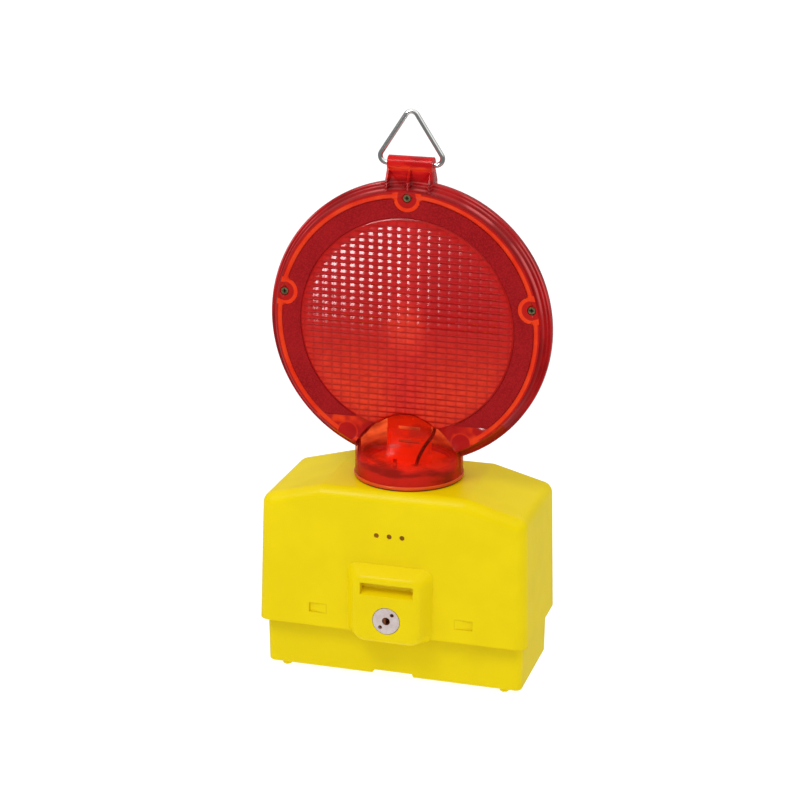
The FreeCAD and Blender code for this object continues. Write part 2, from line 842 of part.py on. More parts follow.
def make_swivel_ring():
    """The lighter ring at the foot of the collar; its neck passes through the cover."""
    body = new_body("swivel_ring_form")
    inner = neck_radius - 3.5
    upstand = collar_radius - wall - 0.2
    revolve(body, "ring_turned", "z", 0, lambda s: polygon(s, [
        (inner, neck_low), (neck_radius, neck_low), (neck_radius, ring_low),
        (ring_radius, ring_low), (ring_radius, ring_high), (upstand, ring_high),
        (upstand, ring_high + 8), (inner, ring_high + 8)]))
    soften(body, "ring_edges", 0.8, lambda edge: is_ring(edge, ring_radius.number))
    drills = [rod("neck_drill_%d" % number, RETAINING_SCREW_RADIUS, "z",
                  (neck_low - 1, neck_low + 5.2), x=x, y=y)
              for number, (x, y) in enumerate(retaining_screw_places())]
    finished(cut("swivel_ring_drilled", body, *drills), "swivel_ring")


def is_ring(edge, radius):
    """True for a full circle about the vertical axis with the given radius."""
    box = edge.BoundBox
    return abs(box.XMax - radius) < 0.05 and box.ZLength < 0.01


def make_swivel_seal():
    outer = rod("seal_outer", ring_radius - 0.8, "z", (roof_height + 0.1, ring_low))
    inner = rod("seal_inner", neck_radius + 0.6, "z", (roof_height - 1, ring_low + 1))
    finished(cut("seal", outer, inner), "swivel_seal")


def make_retaining_ring():
    """Screwed under the neck, it holds the head down on the cover."""
    body = new_body("retaining_ring_form")
    under_roof = roof_height - wall - 0.3
    revolve(body, "retainer_turned", "z", 0, lambda s: polygon(s, [
        (neck_radius - 4.5, neck_low - 2), (neck_radius + 4.5, neck_low - 2),
        (neck_radius + 4.5, under_roof), (neck_radius + 1.5, under_roof),
        (neck_radius + 1.5, neck_low), (neck_radius - 4.5, neck_low)]))
    drills = [rod("retainer_drill_%d" % number, RETAINING_SCREW_RADIUS, "z",
                  (neck_low - 3, neck_low + 1), x=x, y=y)
              for number, (x, y) in enumerate(retaining_screw_places())]
    finished(cut("retaining_ring_drilled", body, *drills), "retaining_ring")


def make_retaining_screws():
    screws = [pan_screw("retaining_screw_%d" % number, "z", neck_low - 2, 1, 7,
                        RETAINING_SCREW_RADIUS, x=x, y=y)
              for number, (x, y) in enumerate(retaining_screw_places())]
    finished(group("retaining_screw_set", *screws), "retaining_ring_screws")


# ---------------------------------------------------------------- lens head

def signed(outline, side):
    """Mirror an outline of the lens head to the front (-1) or the back (+1)."""
    return [(radius, depth * side) for radius, depth in outline]


def face_outside(sketch, side):
    """Half section of the head's outside, from the axis out to the flange and the joint."""
    rim = as_size(face_depth)
    polygon(sketch, signed([
        (0, 0), (0, rim), (lens_radius, rim), (lens_radius + 0.6, rim - 0.6),
        (band_inner, rim - 0.6), (band_outer + 1.2, rim - 0.6), (band_outer + 1.8, rim),
        (face_radius - 1, rim), (face_radius, rim - 1), (face_radius + 0.8, 5),
        (face_radius + 2.4, 4.6), (face_radius + 2.8, 2.6), (flange_radius - 0.4, 2.3),
        (flange_radius, 1.9), (flange_radius, 0)], side))


def face_inside(sketch, side):
    """Half section of the hollow behind the face."""
    deep = face_depth - wall
    polygon(sketch, signed([
        (0, -1), (0, deep), (lens_radius, deep), (band_inner - 0.5, deep - band_thickness),
        (band_outer - 0.5, deep - band_thickness), (face_radius - wall, deep - band_thickness),
        (face_radius - wall + 0.5, -1)], side))


def hood(name, offset, low):
    """The collar with its sloping, slightly rounded shoulder, turned about the vertical axis."""
    radius = collar_radius - offset
    crown = hood_crown - offset / 2
    top = hood_top - offset
    body = new_body(name)

    def draw(sketch):
        first = Vector(radius.number, hood_start.number, 0)
        last = Vector(crown.number, top.number, 0)
        chord = last - first
        outward = Vector(chord.y, -chord.x, 0).normalize()
        bulge = hood_round.number - math.sqrt(hood_round.number ** 2 - chord.Length ** 2 / 4)
        middle = (first + last) / 2 + outward * bulge
        corners = [(crown, top), (0, top), (0, low), (radius, low), (radius, hood_start)]
        places = [Vector(as_size(u).number, as_size(v).number, 0) for u, v in corners]
        for number in range(4):
            sketch.addGeometry(Part.LineSegment(places[number], places[number + 1]))
        arc = sketch.addGeometry(Part.Arc(first, middle, last))
        for number in range(5):
            following = (number + 1) % 5
            sketch.addConstraint(Sketcher.Constraint("Coincident", number, 2, following, 1))
        for number, (u, v) in enumerate(corners):
            hold(sketch, "DistanceX", number, 1, u)
            hold(sketch, "DistanceY", number, 1, v)
        limit = sketch.addConstraint(Sketcher.Constraint("Radius", arc, hood_round.number))
        bind(sketch, "Constraints[%d]" % limit, hood_round)

    revolve(body, name + "_turned", "z", 0, draw)
    return body


def depth_span(side, near, far):
    """A span along Y on one side of the joint plane, lowest first."""
    if side < 0:
        return -as_size(far), -as_size(near)
    return as_size(near), as_size(far)


def band_shape(name, side, near, far, gap):
    """A flat band round the lens, scalloped at the screw posts and open at the bottom."""
    span = depth_span(side, near, far)
    outer = rod(name + "_outer", band_outer - gap, "y", span, z=head_height)
    inner = rod(name + "_inner", band_inner + gap, "y", depth_span(side, near - 1, far + 1),
                z=head_height)
    takes = [inner, block(name + "_end", (-100, 100), depth_span(side, near - 1, far + 1),
                          (head_height - 100, head_height - band_end + gap))]
    for number, degrees in enumerate(SCREW_ANGLES):
        x, z = on_circle(boss_circle, degrees)
        takes.append(rod("%s_scallop_%d" % (name, number), scallop_radius + gap, "y",
                         depth_span(side, near - 1, far + 1), x=x, z=z))
    return cut(name, outer, *takes)


def screw_posts(name, side):
    """Solid posts from the face down to the joint plane."""
    posts = []
    for number, degrees in enumerate(SCREW_ANGLES + BLIND_ANGLES):
        x, z = on_circle(boss_circle, degrees)
        posts.append(rod("%s_post_%d" % (name, number), 4.2, "y",
                         depth_span(side, 0, face_depth - wall), x=x, z=z))
    return posts


def screw_holes(name, side):
    """Clearance and counterbore in the front shell, pilot holes in the rear one."""
    holes = []
    for number, degrees in enumerate(SCREW_ANGLES):
        x, z = on_circle(boss_circle, degrees)
        if side < 0:
            holes.append(rod("%s_clear_%d" % (name, number), 1.6, "y",
                             depth_span(side, -1, face_depth + 1), x=x, z=z))
            holes.append(rod("%s_sink_%d" % (name, number), 3.1, "y",
                             depth_span(side, face_depth - 2.4, face_depth + 1), x=x, z=z))
        else:
            holes.append(rod("%s_pilot_%d" % (name, number), 1.3, "y",
                             depth_span(side, -1, face_depth - wall - 0.5), x=x, z=z))
    return holes


def lug(name, side):
    """Half of the neck on top: a thin panel between three deep ribs, and the ring's tube."""
    half = lug_width / 2
    low = head_height + face_radius - 4
    neck = block(name + "_neck", (-half, half), depth_span(side, 0, lug_depth / 2 - 1),
                 (low, tube_height))
    tube = rod(name + "_tube", tube_diameter / 2, "x", (-half, half), z=tube_height)
    places = (RIB_HALF - half, as_size(0), half - RIB_HALF)
    ribs = [lug_rib("%s_rib_%d" % (name, number), side, place, low)
            for number, place in enumerate(places)]
    return [neck, tube] + ribs


RIB_HALF = 0.7


def lug_rib(name, side, place, low):
    """A rib that grows from the tube down to its full depth at the rim."""
    body = new_body(name)
    top = tube_height - 1.5
    near = 0.5 * side
    pad(body, name + "_form", "x", place - RIB_HALF, place + RIB_HALF,
        lambda s: polygon(s, [(near, low), (lug_depth * side, low), (lug_depth * side, low + 9),
                              ((tube_diameter / 2 - 1.6) * side, top), (near, top)]))
    return body


def make_lens_shell(name, side):
    outside = new_body(name + "_outside")
    revolve(outside, name + "_face", "y", head_height, lambda s: face_outside(s, side))
    inside = new_body(name + "_inside")
    revolve(inside, name + "_hollow", "y", head_height, lambda s: face_inside(s, side))
    collar = hood(name + "_collar", as_size(0), ring_high)
    bore = hood(name + "_bore", wall, ring_high - 1)
    solid = fuse(name + "_solid", outside, collar, *lug(name + "_lug", side))
    shell = cut(name + "_shell", solid, fuse(name + "_hollows", inside, bore))
    posted = fuse(name + "_posted", shell, *screw_posts(name, side))
    other_half = block(name + "_other_half", (-200, 200), depth_span(-side, 0, 60), (100, 420))
    band_pocket = band_shape(name + "_band_pocket", side, face_depth - band_thickness - 0.3,
                             face_depth + 1, 0)
    ring_bore = rod(name + "_ring_bore", wire_diameter / 2 + 0.1, "x", (-30, 30), z=tube_height)
    tools = [other_half, band_pocket, ring_bore] + screw_holes(name, side)
    tools += [gasket_groove(name, side)]
    finished(cut(name + "_cut", posted, *tools), name)


def gasket_shape(name, near, far, radial_gap):
    """A flat ring in the joint, open at the bottom where the collar is."""
    outer = rod(name + "_outer", flange_radius - 2 + radial_gap, "y", (near, far), z=head_height)
    inner = rod(name + "_inner", flange_radius - 4 - radial_gap, "y", (near - 1, far + 1),
                z=head_height)
    gap_half = collar_radius + 2 - radial_gap
    opening = block(name + "_opening", (-gap_half, gap_half), (near - 1, far + 1),
                    (head_height - 110, head_height - 80))
    return cut(name, outer, inner, opening)


def gasket_groove(name, side):
    near, far = depth_span(side, -0.5, 1)
    return gasket_shape(name + "_groove", near, far, 0)


def make_lens_gasket():
    finished(gasket_shape("gasket", as_size(-1), as_size(1), 0), "lens_gasket")


def make_reflector(name, side):
    near = face_depth - band_thickness - 0.3
    finished(band_shape(name + "_band", side, near, near + band_thickness, 0.15), name)


def make_lens_screws():
    screws = []
    for number, degrees in enumerate(SCREW_ANGLES):
        x, z = on_circle(boss_circle, degrees)
        screws.append(pan_screw("lens_screw_%d" % number, "y", -face_depth + 2.4, 1, 14, 1.3,
                                x=as_size(x), z=z))
    finished(group("lens_screw_set", *screws), "lens_screws")


# ---------------------------------------------------------------- light source and lead

mast_foot = ring_high + 3
MAST_PLATE_TALL = 35.8


def make_led_mast():
    """A slotted foot in the collar, a slim mast and a ring that holds the lamp board."""
    disc = rod("mast_disc", neck_radius - 3.6, "z", (mast_foot, mast_foot + 2.5))
    plate_top = mast_foot + MAST_PLATE_TALL
    thickness = (-1.2, 1.2)
    foot = block("mast_foot_plate", (-15.5, 15.5), thickness, (mast_foot + 2, plate_top))
    stem = block("mast_stem", (-6, 6), thickness, (plate_top - 1, head_height - 12.5))
    hoop = rod("mast_hoop", 15, "y", (-1.5, 1.5), z=head_height)
    seat = rod("mast_seat", 12.1, "y", (-2, 2), z=head_height)
    slots = [block("mast_slot_%d" % number, (-8, 8), (-2, 2),
                   (mast_foot + place, mast_foot + place + 3))
             for number, place in enumerate((15.8, 25.8))]
    lead_hole = rod("mast_lead_hole", 3.5, "z", (mast_foot - 1, mast_foot + 5), x=7, y=-5)
    ribs = [block("mast_rib_%d" % number, (x - 0.8, x + 0.8), (-3, 3), (mast_foot + 2, mast_foot + 27))
            for number, x in enumerate((-14.5, 14.5))]
    solid = fuse("mast_solid", disc, foot, stem, hoop, *ribs)
    finished(cut("mast", solid, seat, lead_hole, *slots), "led_mast")


def make_led_board():
    """The round lamp board with the socket that the lead plugs into from below."""
    disc = rod("lamp_board_disc", 12, "y", (-0.8, 0.8), z=head_height)
    socket = block("lamp_board_socket", (-2.5, 2.5), (0.5, 4.4),
                   (LEAD_ROUTE[0][2], head_height - 4.5))
    finished(fuse("lamp_board", disc, socket), "led_board")
    lamps = []
    for side in (-1, 1):
        base = rod("lamp_base_%d" % side, 3.5, "y", depth_span(side, 0.8, 2), z=head_height)
        dome = rod("lamp_dome_%d" % side, 2.4, "y", depth_span(side, 1.8, 4.2), z=head_height)
        lamps.append(fuse("lamp_%d" % side, base, dome))
    finished(group("lamp_pair", *lamps), "led_emitters")


LEAD_DIAMETER = 2.4
LEAD_ROUTE = (
    (0, 3, 241), (0, 3, 230.5), (1.5, 3.4, 218.5), (3, 3.4, 207.5), (5, 3.4, 197.5),
    (11, 3.8, 189.5), (18.5, 1, 182.5), (19, -4, 172.5), (13, -6, 164.5), (8, -5.2, 154.5),
    (5.5, -4, 145.5), (1.5, -1.5, 138.5), (0, 0, 131.5), (0, 0, 127),
)


def rounded_path(points, share):
    """Straight runs joined by tangent arcs; prints the smallest arc radius."""
    corners = [Vector(*point) for point in points]
    edges = []
    radii = []
    last = corners[0]
    for before, corner, after in zip(corners, corners[1:], corners[2:]):
        back = (before - corner).normalize()
        ahead = (after - corner).normalize()
        shorter = min((before - corner).Length, (after - corner).Length)
        reach = share * shorter
        turn = math.pi - back.getAngle(ahead)
        if turn < 0.01:
            continue
        radius = reach / math.tan(turn / 2)
        radii.append(radius)
        start = corner + back * reach
        end = corner + ahead * reach
        bisector = (back + ahead).normalize()
        middle = corner + bisector * (radius / math.cos(turn / 2) - radius)
        if (start - last).Length > 0.001:
            edges.append(Part.LineSegment(last, start).toShape())
        edges.append(Part.Arc(start, middle, end).toShape())
        last = end
    edges.append(Part.LineSegment(last, corners[-1]).toShape())
    print("route radii", ["%.1f" % radius for radius in radii])
    return Part.Wire(edges)


def tube_along(path, radius):
    """A round tube along a path, with its volume compared with section times length."""
    start = path.Edges[0].valueAt(path.Edges[0].FirstParameter)
    direction = path.Edges[0].tangentAt(path.Edges[0].FirstParameter)
    profile = Part.Wire(Part.makeCircle(radius, start, direction))
    tube = path.makePipeShell([profile], True, True)
    expected = math.pi * radius ** 2 * path.Length
    print("tube volume %.0f, section times length %.0f" % (tube.Volume, expected))
    return tube


def make_head_lead():
    lead = doc.addObject("Part::Feature", "lead")
    lead.Shape = tube_along(rounded_path(LEAD_ROUTE, 0.45), LEAD_DIAMETER / 2)
    finished(lead, "head_lead")
    plug = rod("plug", 2.6, "z", (board_high + 1.3, LEAD_ROUTE[-1][2]))
    finished(plug, "lead_plug")


# ---------------------------------------------------------------- hanging ring

def make_hanging_ring():
    """A closed triangle of round wire, standing on the tube's axis."""
    corner = ring_corner.number
    half = ring_width.number / 2
    low = tube_height.number
    top = ring_top.number
    radius = wire_diameter.number / 2
    slope = math.atan2(top - low + corner, half)
    apex = Vector(0, 0, low + half * math.tan(slope) - corner * 0.9)
    corners = [Vector(-half - corner * 0.6, 0, low), Vector(half + corner * 0.6, 0, low), apex]
    path = rounded_loop(corners, corner)
    ring = doc.addObject("Part::Feature", "ring")
    ring.Shape = tube_along(path, radius)
    finished(ring, "hanging_ring")


def rounded_loop(corners, radius):
    """A closed polygon with the same rounding at each corner, starting on its first side."""
    count = len(corners)
    arcs = []
    for number, corner in enumerate(corners):
        back = (corners[number - 1] - corner).normalize()
        ahead = (corners[(number + 1) % count] - corner).normalize()
        half_angle = back.getAngle(ahead) / 2
        reach = radius / math.tan(half_angle)
        bisector = (back + ahead).normalize()
        middle = corner + bisector * (radius / math.sin(half_angle) - radius)
        arcs.append((corner + back * reach, middle, corner + ahead * reach))
    edges = []
    for number, (start, middle, end) in enumerate(arcs):
        following = arcs[(number + 1) % count][0]
        edges.append(Part.LineSegment(end, following).toShape())
        next_arc = arcs[(number + 1) % count]
        edges.append(Part.Arc(*next_arc).toShape())
    return Part.Wire(edges)


# ---------------------------------------------------------------- build, check and write

def make_everything():
    make_base_tray()
    make_battery("battery_left", -battery_offset)
    make_battery("battery_right", battery_offset)
    make_springs("battery_left_springs", -battery_offset)
    make_springs("battery_right_springs", battery_offset)
    make_cover()
    make_windows()
    make_lock_body()
    make_lock_body_screws()
    make_lock_core()
    make_lock_cam()
    make_lock_cam_screw()
    make_contact_plate()
    make_contacts()
    make_plate_screws()
    make_board()
    make_indicators()
    make_swivel_ring()
    make_swivel_seal()
    make_retaining_ring()
    make_retaining_screws()
    make_lens_shell("front_lens_shell", -1)
    make_lens_shell("rear_lens_shell", 1)
    make_lens_gasket()
    make_reflector("front_reflector_ring", -1)
    make_reflector("rear_reflector_ring", 1)
    make_lens_screws()
    make_led_mast()
    make_led_board()
    make_head_lead()
    make_hanging_ring()


def check_document():
    """Stop when any feature failed or any sub-part has no sound shape."""
    failed = [item.Name for item in doc.Objects
              if "Invalid" in item.State or "Error" in item.State]
    if failed:
        raise RuntimeError("failed features: %s" % failed)
    for item in parts:
        shape = item.Shape
        if shape.isNull() or not shape.isValid() or shape.Volume <= 0:
            raise RuntimeError("unsound shape: %s" % item.Label)


def write_parts():
    os.makedirs("parts", exist_ok=True)
    for item in parts:
        item.Shape.exportStep("parts/%s.step" % item.Label)


make_everything()
doc.recompute()
check_document()
write_parts()
for item in parts:
    print("%-24s %2d solids %10.0f mm3" % (item.Label, len(item.Shape.Solids), item.Shape.Volume))
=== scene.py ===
"""Looks of the barricade warning light: red two-sided lens head on a yellow battery housing.

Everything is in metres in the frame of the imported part: +X right seen from the lock, +Y back,
+Z up, with the ground at z = 0.
"""

import math
import random

import bmesh
import bpy
from mathutils import Matrix, Vector


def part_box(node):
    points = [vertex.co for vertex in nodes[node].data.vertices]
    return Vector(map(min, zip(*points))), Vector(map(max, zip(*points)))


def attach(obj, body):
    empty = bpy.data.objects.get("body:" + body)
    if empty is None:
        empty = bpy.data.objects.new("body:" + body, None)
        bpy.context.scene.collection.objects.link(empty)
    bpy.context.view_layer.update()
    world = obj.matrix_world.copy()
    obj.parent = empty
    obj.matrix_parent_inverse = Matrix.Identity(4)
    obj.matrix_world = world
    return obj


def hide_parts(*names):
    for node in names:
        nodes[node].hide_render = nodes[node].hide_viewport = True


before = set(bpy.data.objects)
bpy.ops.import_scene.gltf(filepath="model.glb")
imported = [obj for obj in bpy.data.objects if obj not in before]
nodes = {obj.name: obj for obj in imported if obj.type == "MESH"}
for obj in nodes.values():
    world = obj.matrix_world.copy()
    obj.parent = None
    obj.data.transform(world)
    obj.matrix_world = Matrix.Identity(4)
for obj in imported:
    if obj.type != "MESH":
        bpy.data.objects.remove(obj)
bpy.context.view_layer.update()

MM = 0.001


# ---------------------------------------------------------------- places taken from the frame

def middle(node):
    """The middle of a node's box at rest."""
    low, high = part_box(node)
    return (Vector(low) + Vector(high)) / 2


HEAD_Z = middle("led_emitters").z
FACE_DEPTH = 11 * MM             # face plane to the joint of the two shells
LENS_RADIUS = 74 * MM            # of the round field of prisms
CELL_WIDTHS = (6.6 * MM, 7.2 * MM)        # the prisms' pitch left and right of the middle
CELL_HEIGHTS = (4.15 * MM, 4.58 * MM)     # and below and above it
LAND_OUTER = 93.8 * MM           # outer radius of the flat land round the field
BAND_OUTER = 88.6 * MM           # outer radius of the reflecting bands under the land
BAND_END = 67 * MM               # the bands stop this far under the head's centre
BOSS_CIRCLE = 89 * MM            # the round bosses' centres lie on this circle
SCREW_ANGLES = (90, 12, 168)     # bosses with a screw hole
BLIND_ANGLES = (-63.5, -118)     # bosses without one
BARREL_Z = 360 * MM              # the tube at the lug's top, which holds the ring
MARK_INNER = 46.2 * MM           # the two moulded marks on the front, one each side
MARK_OUTER = 58.8 * MM
MARK_LOW = 47.6 * MM
MARK_HIGH = 54.3 * MM
LOCK = middle("lock_core")
LOCK_FACE_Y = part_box("lock_core")[0][1]


# ---------------------------------------------------------------- node helpers

def new_material(name):
    """A node material with its tree and its Principled shader."""
    material = bpy.data.materials.new(name)
    material.use_nodes = True
    return material, material.node_tree, material.node_tree.nodes["Principled BSDF"]


def add(tree, kind, inputs=None, **settings):
    """Add a node; inputs are numbers, colours or the sockets that feed it."""
    made = tree.nodes.new(kind)
    for key, value in settings.items():
        setattr(made, key, value)
    for key, value in (inputs or {}).items():
        if isinstance(value, bpy.types.NodeSocket):
            tree.links.new(value, made.inputs[key])
        else:
            made.inputs[key].default_value = value
    return made


def feed(tree, shader, **links):
    """Link sockets into a shader's inputs, named with underscores for spaces."""
    for key, socket in links.items():
        tree.links.new(socket, shader.inputs[key.replace("_", " ")])


def fix(shader, **values):
    """Set a shader's own sockets, named with underscores for spaces."""
    for key, value in values.items():
        shader.inputs[key.replace("_", " ")].default_value = value


def own_coordinates(tree):
    """The object's own coordinates, which are the part's frame in metres."""
    return add(tree, "ShaderNodeTexCoord").outputs["Object"]


def stretched(tree, scale, move=(0, 0, 0)):
    """The object's own coordinates, moved and then scaled along each axis."""
    moved = add(tree, "ShaderNodeVectorMath", {0: own_coordinates(tree), 1: move},
                operation="SUBTRACT").outputs[0]
    return add(tree, "ShaderNodeVectorMath", {0: moved, 1: scale},
               operation="MULTIPLY").outputs[0]


def noise(tree, scale, detail=3.0, stretch=(1, 1, 1)):
    """Noise over the object's own coordinates, in features per metre."""
    return add(tree, "ShaderNodeTexNoise",
               {"Vector": stretched(tree, stretch), "Scale": scale, "Detail": detail}).outputs[0]


def cells(tree, scale, feature="F1", stretch=(1, 1, 1)):
    """Distance to the nearest point of an irregular cell pattern."""
    return add(tree, "ShaderNodeTexVoronoi",
               {"Vector": stretched(tree, stretch), "Scale": scale},
               feature=feature).outputs["Distance"]


def distance_from(tree, centre, axes=(1, 0, 1)):
    """Distance from a point, measured along the wanted axes only."""
    return add(tree, "ShaderNodeVectorMath", {0: stretched(tree, axes, centre)},
               operation="LENGTH").outputs["Value"]


def along(tree, axis):
    """One of the object's own coordinates."""
    split = add(tree, "ShaderNodeSeparateXYZ", {0: own_coordinates(tree)})
    return split.outputs["XYZ".index(axis)]


def math_node(tree, operation, first, second=0.0):
    """One calculation on numbers or sockets."""
    return add(tree, "ShaderNodeMath", {0: first, 1: second}, operation=operation).outputs[0]


def span(tree, value, low, high, to_low=0.0, to_high=1.0):
    """Map a number from one span to another, clamped and smooth."""
    return add(tree, "ShaderNodeMapRange",
               {0: value, 1: low, 2: high, 3: to_low, 4: to_high},
               interpolation_type="SMOOTHSTEP").outputs[0]


def within(tree, value, low, high, soft=0.3 * MM):
    """One between two limits and zero outside, with soft borders."""
    rising = span(tree, value, low - soft, low + soft)
    falling = span(tree, value, high - soft, high + soft, 1.0, 0.0)
    return math_node(tree, "MULTIPLY", rising, falling)


def blend_colours(tree, share, first, second):
    """The first colour at share zero, the second at one."""
    made = add(tree, "ShaderNodeMix", data_type="RGBA")
    for number, value in ((0, share), (6, first), (7, second)):
        if isinstance(value, bpy.types.NodeSocket):
            tree.links.new(value, made.inputs[number])
        else:
            made.inputs[number].default_value = value
    return made.outputs[2]


def bump(tree, height, distance):
    """A surface normal from a height pattern that stands this far proud at one."""
    return add(tree, "ShaderNodeBump",
               {"Height": height, "Distance": distance}).outputs["Normal"]


def colour(red, green, blue):
    """A linear colour from display values out of 255."""
    values = []
    for value in (red, green, blue):
        share = value / 255
        values.append(share / 12.92 if share <= 0.04045 else ((share + 0.055) / 1.055) ** 2.4)
    return (*values, 1.0)


def scaled(tint, share):
    """A colour made darker or brighter."""
    return (*(value * share for value in tint[:3]), 1.0)


# ---------------------------------------------------------------- plain materials

SKIN_RELIEF = 0.012 * MM         # moulded plastic's skin texture


def moulded(name, tint, roughness, mottle=0.05, grain=1400, **values):
    """Moulded plastic: faint cloudiness, a fine skin texture and uneven gloss."""
    material, tree, shader = new_material(name)
    cloud = noise(tree, 35)
    tone = blend_colours(tree, span(tree, cloud, 0.35, 0.65),
                         scaled(tint, 1 - mottle), scaled(tint, 1 + mottle))
    gloss = span(tree, noise(tree, 90), 0.3, 0.7, roughness - 0.04, roughness + 0.04)
    skin = bump(tree, noise(tree, grain, 2.0), SKIN_RELIEF)
    feed(tree, shader, Base_Color=tone, Roughness=gloss, Normal=skin)
    fix(shader, **values)
    return material


def brushed(name, tint, roughness, stretch, relief=0.01 * MM):
    """Worked metal: fine lines along one direction and slightly uneven brightness."""
    material, tree, shader = new_material(name)
    lines = noise(tree, 900, 3.0, stretch)
    tone = blend_colours(tree, span(tree, noise(tree, 120), 0.3, 0.7),
                         scaled(tint, 0.92), scaled(tint, 1.05))
    gloss = span(tree, lines, 0.3, 0.7, roughness - 0.06, roughness + 0.06)
    feed(tree, shader, Base_Color=tone, Roughness=gloss, Normal=bump(tree, lines, relief))
    fix(shader, Metallic=1.0)
    return material


def rectangle_line(tree, across, widths, heights, half=0.45 * MM):
    """One along the outline of an upright rectangle and zero elsewhere."""
    height = along(tree, "Z")
    outer = math_node(tree, "MULTIPLY",
                      within(tree, across, widths[0] - half, widths[1] + half),
                      within(tree, height, heights[0] - half, heights[1] + half))
    inner = math_node(tree, "MULTIPLY",
                      within(tree, across, widths[0] + half, widths[1] - half),
                      within(tree, height, heights[0] + half, heights[1] - half))
    return math_node(tree, "SUBTRACT", outer, inner)


def make_yellow():
    """The housing's satin yellow, with painted shade along the edges of its two moulded marks."""
    material, tree, shader = new_material("yellow_housing")
    tone = blend_colours(tree, span(tree, noise(tree, 35), 0.35, 0.65),
                         colour(237, 211, 0), colour(241, 215, 0))
    sideways = math_node(tree, "ABSOLUTE", along(tree, "X"))
    # painted shade: a darker line along the edges of the two marks, on the front only
    mark_edge_shade = rectangle_line(tree, sideways, (MARK_INNER, MARK_OUTER), (MARK_LOW, MARK_HIGH))
    front = span(tree, along(tree, "Y"), LOCK_FACE_Y + 2 * MM, LOCK_FACE_Y + 16 * MM, 0.6, 0.0)
    tone = blend_colours(tree, math_node(tree, "MULTIPLY", mark_edge_shade, front), tone,
                         colour(196, 166, 0))
    gloss = span(tree, noise(tree, 90), 0.3, 0.7, 0.33, 0.38)
    skin = bump(tree, noise(tree, 240, 2.0), 0.008 * MM)
    feed(tree, shader, Base_Color=tone, Roughness=gloss, Normal=skin)
    fix(shader, Specular_IOR_Level=0.1)
    return material


def make_lock_metal():
    """The turned lock face, with darker brown inside its key well and pin holes."""
    material, tree, shader = new_material("lock_face_metal")
    ring_lines = math_node(tree, "SINE", math_node(tree, "MULTIPLY",
                           distance_from(tree, (LOCK.x, 0, LOCK.z)), 9000.0))
    tone = blend_colours(tree, span(tree, noise(tree, 300), 0.3, 0.7),
                         colour(222, 205, 202), colour(236, 222, 219))
    inside = within(tree, along(tree, "Y"), LOCK_FACE_Y + 0.6 * MM, LOCK_FACE_Y + 7 * MM, 0.3 * MM)
    well = span(tree, distance_from(tree, (LOCK.x, 0, LOCK.z)), 7.2 * MM, 7.8 * MM, 1.0, 0.0)
    deep = math_node(tree, "MULTIPLY", inside, well)
    tone = blend_colours(tree, deep, tone, colour(140, 78, 40))
    feed(tree, shader, Base_Color=tone, Normal=bump(tree, ring_lines, 0.002 * MM))
    fix(shader, Metallic=0.25, Roughness=0.34)
    return material


def make_screw_zinc():
    """Olive passivated screws; the lens screws are dark brown round their middles, where their
    sockets are.
    """
    material, tree, shader = new_material("screw_zinc")
    tone = blend_colours(tree, span(tree, noise(tree, 400), 0.35, 0.65),
                         colour(104, 98, 60), colour(140, 134, 92))
    # dark brown round the middle of each lens screw
    recess = span(tree, boss_distance(tree, SCREW_ANGLES), 0.7 * MM, 1.5 * MM, 0.85, 0.0)
    tone = blend_colours(tree, recess, tone, colour(34, 28, 14))
    lines = noise(tree, 900)
    feed(tree, shader, Base_Color=tone, Normal=bump(tree, lines, 0.01 * MM))
    fix(shader, Metallic=0.55, Roughness=0.36)
    return material


def make_board_green():
    """Solder resist over copper tracks."""
    material, tree, shader = new_material("board_solder_resist")
    tracks = cells(tree, 260, "DISTANCE_TO_EDGE")
    tone = blend_colours(tree, span(tree, tracks, 0.02, 0.07),
                         colour(40, 120, 62), colour(20, 84, 44))
    feed(tree, shader, Base_Color=tone, Normal=bump(tree, tracks, 0.02 * MM))
    fix(shader, Roughness=0.35)
    return material


# ---------------------------------------------------------------- red lens materials

def line_wave(tree, count):
    """A wave that is one at each whole count and minus one between."""
    return math_node(tree, "COSINE", math_node(tree, "MULTIPLY", count, 2 * math.pi))


